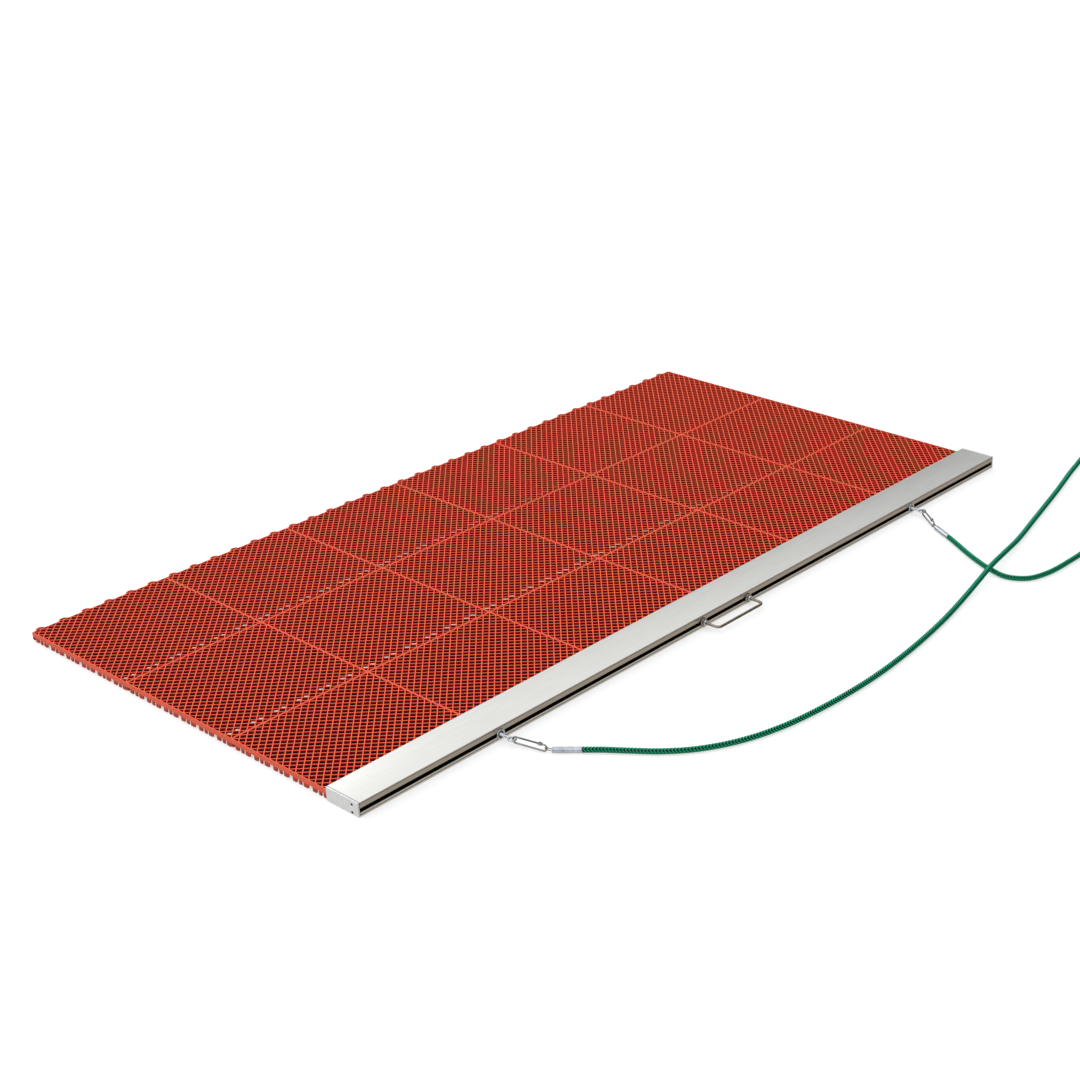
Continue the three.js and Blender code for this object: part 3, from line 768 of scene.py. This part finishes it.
def bar_profile():
    """The extrusion's outline in y behind the front face, and z, with rounded edges."""
    half = SLOT_OPENING / 2
    low, high = SLOT_Z - SLOT_CAVITY_HEIGHT / 2, SLOT_Z + SLOT_CAVITY_HEIGHT / 2
    upper, lower = ([(0, z + reach, 0.0001), (depth, z, 0.0001), (0, z - reach, 0.0001)]
                    for z, reach, depth in SCRIBED_LINES)
    return rounded([
        (0, 0, EDGE), (BAR_BOX_DEPTH, 0, 0.0005), (BAR_BOX_DEPTH, FLANGE_Z, 0.0010),
        (BAR_DEPTH, FLANGE_Z, 0.0006), (BAR_DEPTH, BAR_TOP, EDGE), (0, BAR_TOP, EDGE), *upper,
        (0, SLOT_Z + half, 0.0004), (SLOT_LIP, SLOT_Z + half, 0.0003), (SLOT_LIP, high, 0.0006),
        (SLOT_CAVITY_BACK, high, 0.0010), (SLOT_CAVITY_BACK, low, 0.0010), (SLOT_LIP, low, 0.0006),
        (SLOT_LIP, SLOT_Z - half, 0.0003), (0, SLOT_Z - half, 0.0004), *lower,
    ])


def bar_finish_and_painted_shade(centre, normal):
    """The look of a face of the bar: the anodised finish, or painted shade. The slot, the scribed lines and the
    bottom edge get dark painted shade, and the front faces above the slot a lighter painted shade.
    """
    behind = centre.y - FRONT_Y
    beside_slot = abs(centre.z - SLOT_Z) < SLOT_CAVITY_HEIGHT / 2 + 0.0005
    if beside_slot and EDGE < behind < SLOT_CAVITY_BACK + 0.001:
        return PAINTED_SHADE
    margin = 0.0001
    scribed = behind > margin and any(abs(centre.z - z) < reach + margin for z, reach, _ in SCRIBED_LINES)
    bottom_edge = centre.z < EDGE and normal.z < -0.3
    if behind < 0.0007 and (scribed or bottom_edge):
        return PAINTED_SHADE
    # Painted shade: the front faces above the slot are darker than the rest.
    return FRONT_PAINTED_SHADE if normal.y < -0.7 and centre.z > SLOT_Z else ANODISED


def profile_at(x):
    """Takes the bar's profile of y behind the front face and z into the row frame, at an x."""
    return Matrix(((0, 0, 1, x), (1, 0, 0, FRONT_Y), (0, 1, 0, 0), (0, 0, 0, 1)))


def add_bar():
    """The extrusion, with each face numbered for one of three materials: the anodised finish, a lighter painted
    shade on the front faces, and a dark painted shade in the slot, the scribed lines and along the bottom edge.
    """
    shell = Shell(sharp_degrees=30)
    joint = 0.0005
    add_prism(shell, bar_profile(), BAR_LOW.x + joint, BAR_HIGH.x - joint, profile_at(0))
    mesh = shell.mesh("drag_bar_extrusion")
    for polygon in mesh.polygons:
        if abs(polygon.normal.x) < 0.5:
            polygon.material_index = bar_finish_and_painted_shade(polygon.center, polygon.normal)
    # The last two are the anodised metal with painted shade: lighter on the front faces, dark in the slot, lines
    # and bottom edge.
    finishes = (aluminium_material("bar_anodised", (222, 222, 219)),
                aluminium_material("bar_front_painted_shade", (188, 182, 174), roughness=0.3),
                aluminium_material("bar_slot_painted_shade", (66, 63, 60), roughness=0.4))
    place("drag_bar_extrusion", mesh, finishes, "bar_and_front_row", "drag_bar")


PORT_Y = 0.017
PORT_Z = {"bottom": 0.0042, "top": 0.0204}
CAP_THICKNESS = 0.0035
CAP_CORNER = 0.005
CAP_EDGE = 0.0004
CAP_HOLE = 0.00335
SCREW_HEAD = 0.00325
SCREW_SINK = 0.0004  # how far the heads lie below the plate
SOCKET_FLATS = 0.0047


def add_end_cap(side, sign, material):
    """A plate with a softened rim and two countersinks, made as a filled 2D curve."""
    name = f"end_cap_{side}_plate"
    curve = bpy.data.curves.new(name, "CURVE")
    curve.dimensions = "2D"
    curve.fill_mode = "BOTH"
    curve.bevel_depth = CAP_EDGE
    curve.bevel_resolution = 3
    curve.offset = -CAP_EDGE
    curve.extrude = CAP_THICKNESS / 2 - CAP_EDGE
    plate = rounded([(0, 0, 0.0008), (BAR_DEPTH, 0, CAP_CORNER), (BAR_DEPTH, BAR_TOP, 0.0012),
                     (0, BAR_TOP, 0.0012)], 8)
    holes = [arc((PORT_Y, z), CAP_HOLE, 0, 360 * 31 / 32, 31) for z in PORT_Z.values()]
    for outline in (plate, *holes):
        spline = curve.splines.new("POLY")
        spline.points.add(len(outline) - 1)
        for point, (y, z) in zip(spline.points, outline):
            point.co = (y, z, 0, 1)
        spline.use_cyclic_u = True
    holder = bpy.data.objects.new(f"end_cap_{side}_curve", curve)
    bpy.context.scene.collection.objects.link(holder)
    mesh = bpy.data.meshes.new_from_object(holder.evaluated_get(bpy.context.evaluated_depsgraph_get()))
    bpy.data.objects.remove(holder)
    low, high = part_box(f"end_cap_{side}")
    mesh.transform(profile_at((low.x + high.x) / 2))
    mesh.polygons.foreach_set("use_smooth", [True] * len(mesh.polygons))
    mesh.set_sharp_from_angle(angle=math.radians(40))
    mesh.name = name
    mesh.materials.clear()
    place(name, mesh, material, "bar_and_front_row", f"end_cap_{side}")
    for level, z in PORT_Z.items():
        add_cap_screw(side, sign, level, z)


def add_cap_screw(side, sign, level, z):
    """A countersunk screw with a hexagon socket, which has painted shade inside."""
    low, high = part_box(f"end_cap_{side}")
    outside = high.x if sign > 0 else low.x
    matrix = Matrix.Translation((outside, FRONT_Y + PORT_Y, z)) @ Matrix.Rotation(-sign * math.pi / 2, 4, "Z")
    shell = Shell(sharp_degrees=30)
    shank, chamfer, socket_floor = 0.0017, 0.0002, -0.0026
    levels = [
        (-0.018, 0.0010), (-0.0172, shank), (-0.0023, shank), (-SCREW_SINK - chamfer, SCREW_HEAD),
        (-SCREW_SINK, SCREW_HEAD - 0.0003), (-SCREW_SINK, hex_shape(SOCKET_FLATS)),
        (socket_floor, hex_shape(SOCKET_FLATS - 0.0002)),
    ]
    add_turned(shell, levels, matrix, sides=48)
    name = f"cap_screw_{side}_{level}"
    mesh = shell.mesh(f"{name}_head")
    # Painted shade: the socket's walls and floor take the near-black zinc.
    for polygon in mesh.polygons:
        offset = matrix.inverted() @ polygon.center
        inside = math.hypot(offset.x, offset.z) < SOCKET_FLATS * 0.58
        polygon.material_index = int(inside and socket_floor - 0.0001 < offset.y < -SCREW_SINK - 0.0001)
    place(f"{name}_head", mesh, (ZINC, SOCKET_PAINTED_SHADE), "bar_and_front_row", name)


# ---- lattice mat ----
CELLS = 18  # lattice squares along a tile's side
RIB = 0.0023
BORDER = 0.0019
DECK = 0.010  # depth of the lattice below the mat's top
CHAMFER = 0.00035
FOOT_EVERY = 3
LATCH_RIB = 0.0040  # depth of the ribs over the latches of the tile in front
STRIP_TOP = 0.0033
STRIP_CELLS = 3  # a front tile's squares that lie over the clamp strip
LATCH_CELLS = {(0, 1), (1, 1), (2, 0), (1, 0)}
LATCH_ARM = "se"
PITCH = (TILE_SIDE - 2 * BORDER) / CELLS
DECK_Z = TILE_TOP - DECK
SHOULDER_Z = TILE_TOP - CHAMFER
RIB_REACH = RIB / math.sqrt(2)  # from a rib's middle to its side, along the tile's edges
RIB_TOP_REACH = (RIB - 2 * CHAMFER) / math.sqrt(2)


def element_bottom(row, i, j, arm):
    """How low one arm or the middle of a lattice square reaches."""
    if row == 1 and j < STRIP_CELLS:
        return STRIP_TOP
    if row > 1 and arm == LATCH_ARM and (i % FOOT_EVERY, j) in LATCH_CELLS:
        return TILE_TOP - LATCH_RIB
    has_foot = i % FOOT_EVERY == 1 and j % FOOT_EVERY == 1 and j > 1
    return 0.0 if has_foot else DECK_Z


# Each arm of a square's cross and its corner, in steps of PITCH, and then the arm that it meets in the
# next square along Y and along X.
ARMS = {"sw": (0, 0), "se": (1, 0), "ne": (1, 1), "nw": (0, 1)}
ACROSS_Y = {"sw": "nw", "nw": "sw", "se": "ne", "ne": "se"}
ACROSS_X = {"sw": "se", "se": "sw", "nw": "ne", "ne": "nw"}


def lattice_square(shell, row, i, j):
    """The X of ribs in one square of the lattice."""
    def middle(reach):
        """The corners of the square where the ribs cross."""
        half = PITCH / 2
        return {"s": (half, half - reach), "e": (half + reach, half), "n": (half, half + reach),
                "w": (half - reach, half)}

    def at(point, z):
        return (BORDER + i * PITCH + point[0], BORDER + j * PITCH + point[1], z)

    def arm_points(cx, cy, reach):
        """Corner, its point along X, its point along Y, and the middle's points next to each."""
        corner = (cx * PITCH, cy * PITCH)
        along_x = (corner[0] + reach * (1 - 2 * cx), corner[1])
        along_y = (corner[0], corner[1] + reach * (1 - 2 * cy))
        points = middle(reach)
        return corner, along_x, along_y, points["n" if cy else "s"], points["e" if cx else "w"]

    centre_bottom = element_bottom(row, i, j, "middle")
    for arm, (cx, cy) in ARMS.items():
        flip = (cx + cy) % 2 == 1
        bottom = element_bottom(row, i, j, arm)

        def add(*points):
            shell.face(*(reversed(points) if flip else points))

        def wall(first, second, top, low):
            add(at(first, top), at(first, low), at(second, low), at(second, top))

        corner, by_x, by_y, mid_x, mid_y = arm_points(cx, cy, RIB_TOP_REACH)
        add(*(at(point, TILE_TOP) for point in (corner, by_x, mid_x, mid_y, by_y)))
        corner, low_x, low_y, wide_x, wide_y = arm_points(cx, cy, RIB_REACH)
        add(at(by_x, TILE_TOP), at(low_x, SHOULDER_Z), at(wide_x, SHOULDER_Z), at(mid_x, TILE_TOP))
        add(at(mid_y, TILE_TOP), at(wide_y, SHOULDER_Z), at(low_y, SHOULDER_Z), at(by_y, TILE_TOP))
        wall(low_x, wide_x, SHOULDER_Z, bottom)
        wall(wide_y, low_y, SHOULDER_Z, bottom)
        add(*(at(point, bottom) for point in (low_y, wide_y, wide_x, low_x, corner)))
        if bottom < centre_bottom:
            wall(wide_x, wide_y, centre_bottom, bottom)
        elif bottom > centre_bottom:
            wall(wide_y, wide_x, bottom, centre_bottom)
        # Steps down to a neighbour's ribs, where this square's reach lower.
        for ends, across, ni, nj in (((corner, low_x), ACROSS_Y, i, j + 2 * cy - 1),
                                     ((low_y, corner), ACROSS_X, i + 2 * cx - 1, j)):
            inside = 0 <= ni < CELLS and 0 <= nj < CELLS
            other = element_bottom(row, ni, nj, across[arm]) if inside else DECK_Z
            if bottom < other:
                wall(*ends, other, bottom)
    top_ring, bottom_ring = middle(RIB_TOP_REACH), middle(RIB_REACH)
    shell.face(*(at(top_ring[key], TILE_TOP) for key in "senw"))
    shell.face(*(at(bottom_ring[key], centre_bottom) for key in "wnes"))


def border_stops(reach):
    """Places along the border's inner edge: lattice corners, and where their ribs start and end."""
    stops = [0.0]
    for cell in range(CELLS):
        start = BORDER + cell * PITCH
        stops += [start, start + reach, start + PITCH - reach]
    return stops + [BORDER + CELLS * PITCH, TILE_SIDE]


def add_border(shell):
    """The thin frame round the lattice, with a chamfered outer edge."""
    middle = TILE_SIDE / 2
    top, low = border_stops(RIB_TOP_REACH), border_stops(RIB_REACH)
    for quarter in range(4):
        turn = Matrix.Rotation(quarter * math.pi / 2, 3, "Z")

        def at(s, t, z):
            point = turn @ Vector((s - middle, t - middle, 0))
            return (point.x + middle, point.y + middle, z)

        def strip(first, t, z, second, next_t, next_z):
            shell.face(at(first[0], t, z), at(first[1], t, z), at(second[1], next_t, next_z),
                       at(second[0], next_t, next_z))

        for index in range(len(top) - 1):
            a, b, c, d = top[index], top[index + 1], low[index], low[index + 1]
            first, last = index == 0, index == len(top) - 2
            outer = ((CHAMFER if first else a), (TILE_SIDE - CHAMFER if last else b))
            inner = ((BORDER if first else a), (TILE_SIDE - BORDER if last else b))
            strip(outer, CHAMFER, TILE_TOP, inner, BORDER, TILE_TOP)
            shell.finish = 1
            strip(outer[::-1], CHAMFER, TILE_TOP, (d, c), 0, SHOULDER_Z)
            strip((d, c), 0, SHOULDER_Z, (d, c), 0, DECK_Z)
            shell.finish = 0
            under = ((TILE_SIDE - BORDER if last else d), (BORDER if first else c))
            strip((d, c), 0, DECK_Z, under, BORDER, DECK_Z)
            if index % 3 == 2 and not last:  # between two ribs, where the inner side is open
                strip((a, b), BORDER, TILE_TOP, (c, d), BORDER, SHOULDER_Z)
                strip((c, d), BORDER, SHOULDER_Z, (c, d), BORDER, DECK_Z)


# The teeth in one period under a tile's edge: where each starts and ends, and its two corners' rounding, in mm.
TOOTH_PERIODS = 6
TEETH_SPAN = 55.5
TEETH = ((11.0, 23.0, 1.0, 4.5), (28.3, 36.0, 1.5, 1.5), (41.3, 55.5, 2.0, 5.0))


def add_teeth(shell, row, quarter):
    """The teeth under one side of a tile, with none where the bar or the clamp strip is."""
    if row == 1 and quarter == 0:
        return
    middle, period = TILE_SIDE / 2, TILE_SIDE / TOOTH_PERIODS
    stand = Matrix(((1, 0, 0, -middle), (0, 0, 1, -middle), (0, 1, 0, 0), (0, 0, 0, 1)))
    matrix = Matrix.Translation((middle, middle, 0)) @ Matrix.Rotation(quarter * math.pi / 2, 4, "Z") @ stand
    top = DECK_Z + 0.0003
    for turn in range(TOOTH_PERIODS):
        for start, end, left_round, right_round in TEETH:
            low, high = (turn * period + place_mm / TEETH_SPAN * period for place_mm in (start, end))
            if row == 1 and quarter % 2 == 1 and not clear_of_strip(low, high, quarter):
                continue
            outline = rounded([(low, 0.0, left_round * MM), (high, 0.0, right_round * MM), (high, top, 0.0),
                               (low, top, 0.0)])
            add_prism(shell, outline, BORDER, 0.0, matrix)


def clear_of_strip(low, high, quarter):
    """Whether a tooth on a front tile's side edge misses the clamp strip."""
    margin = 0.001
    strip_low, strip_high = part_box("mat_clamp_strip")
    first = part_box("mat_tile_r1_c1")[0].y
    near, far = strip_low.y - first - margin, strip_high.y - first + margin
    if quarter == 3:
        low, high = TILE_SIDE - high, TILE_SIDE - low
    return high < near or low > far


LOOP_RADIUS = 0.011
LOOP_REACH = 0.0095
LOOP_RIM = 0.0035
LOOP_THICKNESS = 0.008
LOOPS_PER_TILE = 6
LOOP_START = 0.37  # where a tile's first loop is, in steps between loops


def loop_outline(x, inset):
    """A half ring that stands out from the trailing edge, made smaller all round by the inset."""
    centre = (x, TILE_SIDE + LOOP_REACH - LOOP_RADIUS)
    root = TILE_SIDE - BORDER / 2 - centre[1]
    outline = []
    for radius in (LOOP_RADIUS - inset, LOOP_RADIUS - LOOP_RIM + inset):
        lean = math.degrees(math.asin(root / radius))
        stretch = arc(centre, radius, lean, 180 - lean, 20)
        outline += reversed(stretch) if outline else stretch
    return outline


def add_loops(shell):
    """The round loops along a rear tile's trailing edge."""
    edge = 0.0007
    low, high = TILE_TOP - LOOP_THICKNESS, TILE_TOP - 0.0002
    for loop in range(LOOPS_PER_TILE):
        x = (loop + LOOP_START) * TILE_SIDE / LOOPS_PER_TILE
        levels = ((low, edge), (low + edge, 0), (high - edge, 0), (high, edge))
        join_rings(shell, [[(*point, z) for point in loop_outline(x, inset)] for z, inset in levels])


def tile_mesh(row):
    """One tile of a row, with its origin at its front left corner."""
    shell = Shell(sharp_degrees=None)
    for i in range(CELLS):
        for j in range(CELLS):
            lattice_square(shell, row, i, j)
    add_border(shell)
    shell.finish = 1
    for quarter in range(4):
        add_teeth(shell, row, quarter)
    if row == 3:
        add_loops(shell)
    return shell.mesh(f"lattice_row_{row}")


def pvc(name, roughness):
    """A PVC material's nodes, with its cloudy variation."""
    nodes = Nodes(name, specular=0.12, roughness=roughness)
    nodes.bump(nodes.noise(700, detail=3), 0.2, 0.0003)
    return nodes, nodes.noise(14, detail=5)


def lattice_material():
    """Soft PVC: painted light in orange on every face that looks up, painted shade from red just below the top to
    nearly black deeper in the cells, and plain red on faces that look down.
    """
    nodes, mottle = pvc("pvc_lattice", 0.55)
    where = nodes.add("ShaderNodeTexCoord")
    height = nodes.add("ShaderNodeSeparateXYZ", {0: where.outputs["Object"]}).outputs["Z"]
    # Painted shade: the deeper below the top, the darker, down to nearly black.
    depth = nodes.between(height, TILE_TOP - 0.008, TILE_TOP, 0.0, 1.0)
    body = nodes.ramp(depth, ((0.35, linear(14, 0, 1)), (0.62, linear(52, 2, 3)), (0.78, linear(162, 14, 15)),
                              (0.93, linear(200, 30, 22))))
    upward = nodes.add("ShaderNodeSeparateXYZ", {0: where.outputs["Normal"]}).outputs["Z"]
    # Painted light: faces that look up are a lighter orange.
    body = nodes.mix(nodes.between(upward, 0.55, 0.9, 0.0, 1.0), body, linear(250, 104, 70))
    # Faces that look down keep a plain red, without the painted shade.
    body = nodes.mix(nodes.between(upward, -0.9, -0.55, 1.0, 0.0), body, linear(176, 56, 40))
    body = nodes.mix(nodes.between(mottle, 0.35, 0.75, 0.0, 0.14), body, linear(150, 34, 22))
    nodes.link(body, "Base Color")
    return nodes.material


def edge_material():
    """The same PVC where it is open to the light: outer walls and loops, with painted shade on the teeth."""
    nodes, mottle = pvc("pvc_edge", 0.5)
    wall = nodes.ramp(mottle, ((0.3, linear(188, 74, 52)), (0.7, linear(202, 86, 62))))
    where = nodes.add("ShaderNodeTexCoord").outputs["Object"]
    height = nodes.add("ShaderNodeSeparateXYZ", {0: where}).outputs["Z"]
    # Painted shade: darker below the deck, where the teeth are.
    shade = nodes.between(height, DECK_Z - 0.001, DECK_Z + 0.0005, 0.6, 0.0)
    nodes.link(nodes.mix(shade, wall, linear(104, 24, 18)), "Base Color")
    return nodes.material


def add_mat():
    finishes = (lattice_material(), edge_material())
    bodies = {1: "bar_and_front_row", 2: "middle_row", 3: "rear_row"}
    for row, body in bodies.items():
        mesh = tile_mesh(row)
        for column in range(1, 7):
            node = f"mat_tile_r{row}_c{column}"
            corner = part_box(node)[0]
            place(f"{node}_lattice", mesh, finishes, body, node,
                  matrix=Matrix.Translation((corner.x, corner.y, 0)))


# ---- CAD nodes that stay ----
def finish_cad_nodes():
    """The hidden T-nuts, clamp strip and mat screws keep their CAD shape."""
    strip = aluminium_material("strip_mill_finish", (176, 178, 180), roughness=0.42)
    keep = {"mat_clamp_strip": strip}
    keep.update({f"mat_screw_{number}": ZINC for number in range(1, 7)})
    keep.update({f"{kind}_tnut_{side}": ZINC_DARK for kind in ("eye", "handle") for side, _ in SIDES})
    for name, material in keep.items():
        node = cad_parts[name]
        for slot in node.material_slots:
            slot.material = material
        if not node.material_slots:
            node.data.materials.append(material)


# ---- the scene ----
add_camera()
ZINC = zinc_material("zinc_plate", (196, 203, 210), 0.15)
ZINC_DARK = zinc_material("zinc_plate_grey", (92, 96, 102), 0.34)
ZINC_DULL = zinc_material("zinc_plate_dull", (134, 136, 136), 0.14)
# Near-black zinc for the painted shade inside the cap screws' sockets.
SOCKET_PAINTED_SHADE = zinc_material("socket_painted_shade", (12, 12, 14), 0.6)
STAINLESS = stainless_material()
FERRULE = zinc_material("ferrule_alloy", (184, 190, 199), 0.28)
add_rope(rope_material())
add_floor()
add_lights()
add_mat()
add_bar()
CAP = aluminium_material("cap_anodised", (222, 223, 222), stretch=(26, 3, 3), roughness=0.38)
for side_name, side_sign in SIDES:
    add_end_cap(side_name, side_sign, CAP)
    add_eye_bolt(side_name, side_sign)
    add_snap_hook(side_name, side_sign)
add_handle()
finish_cad_nodes()
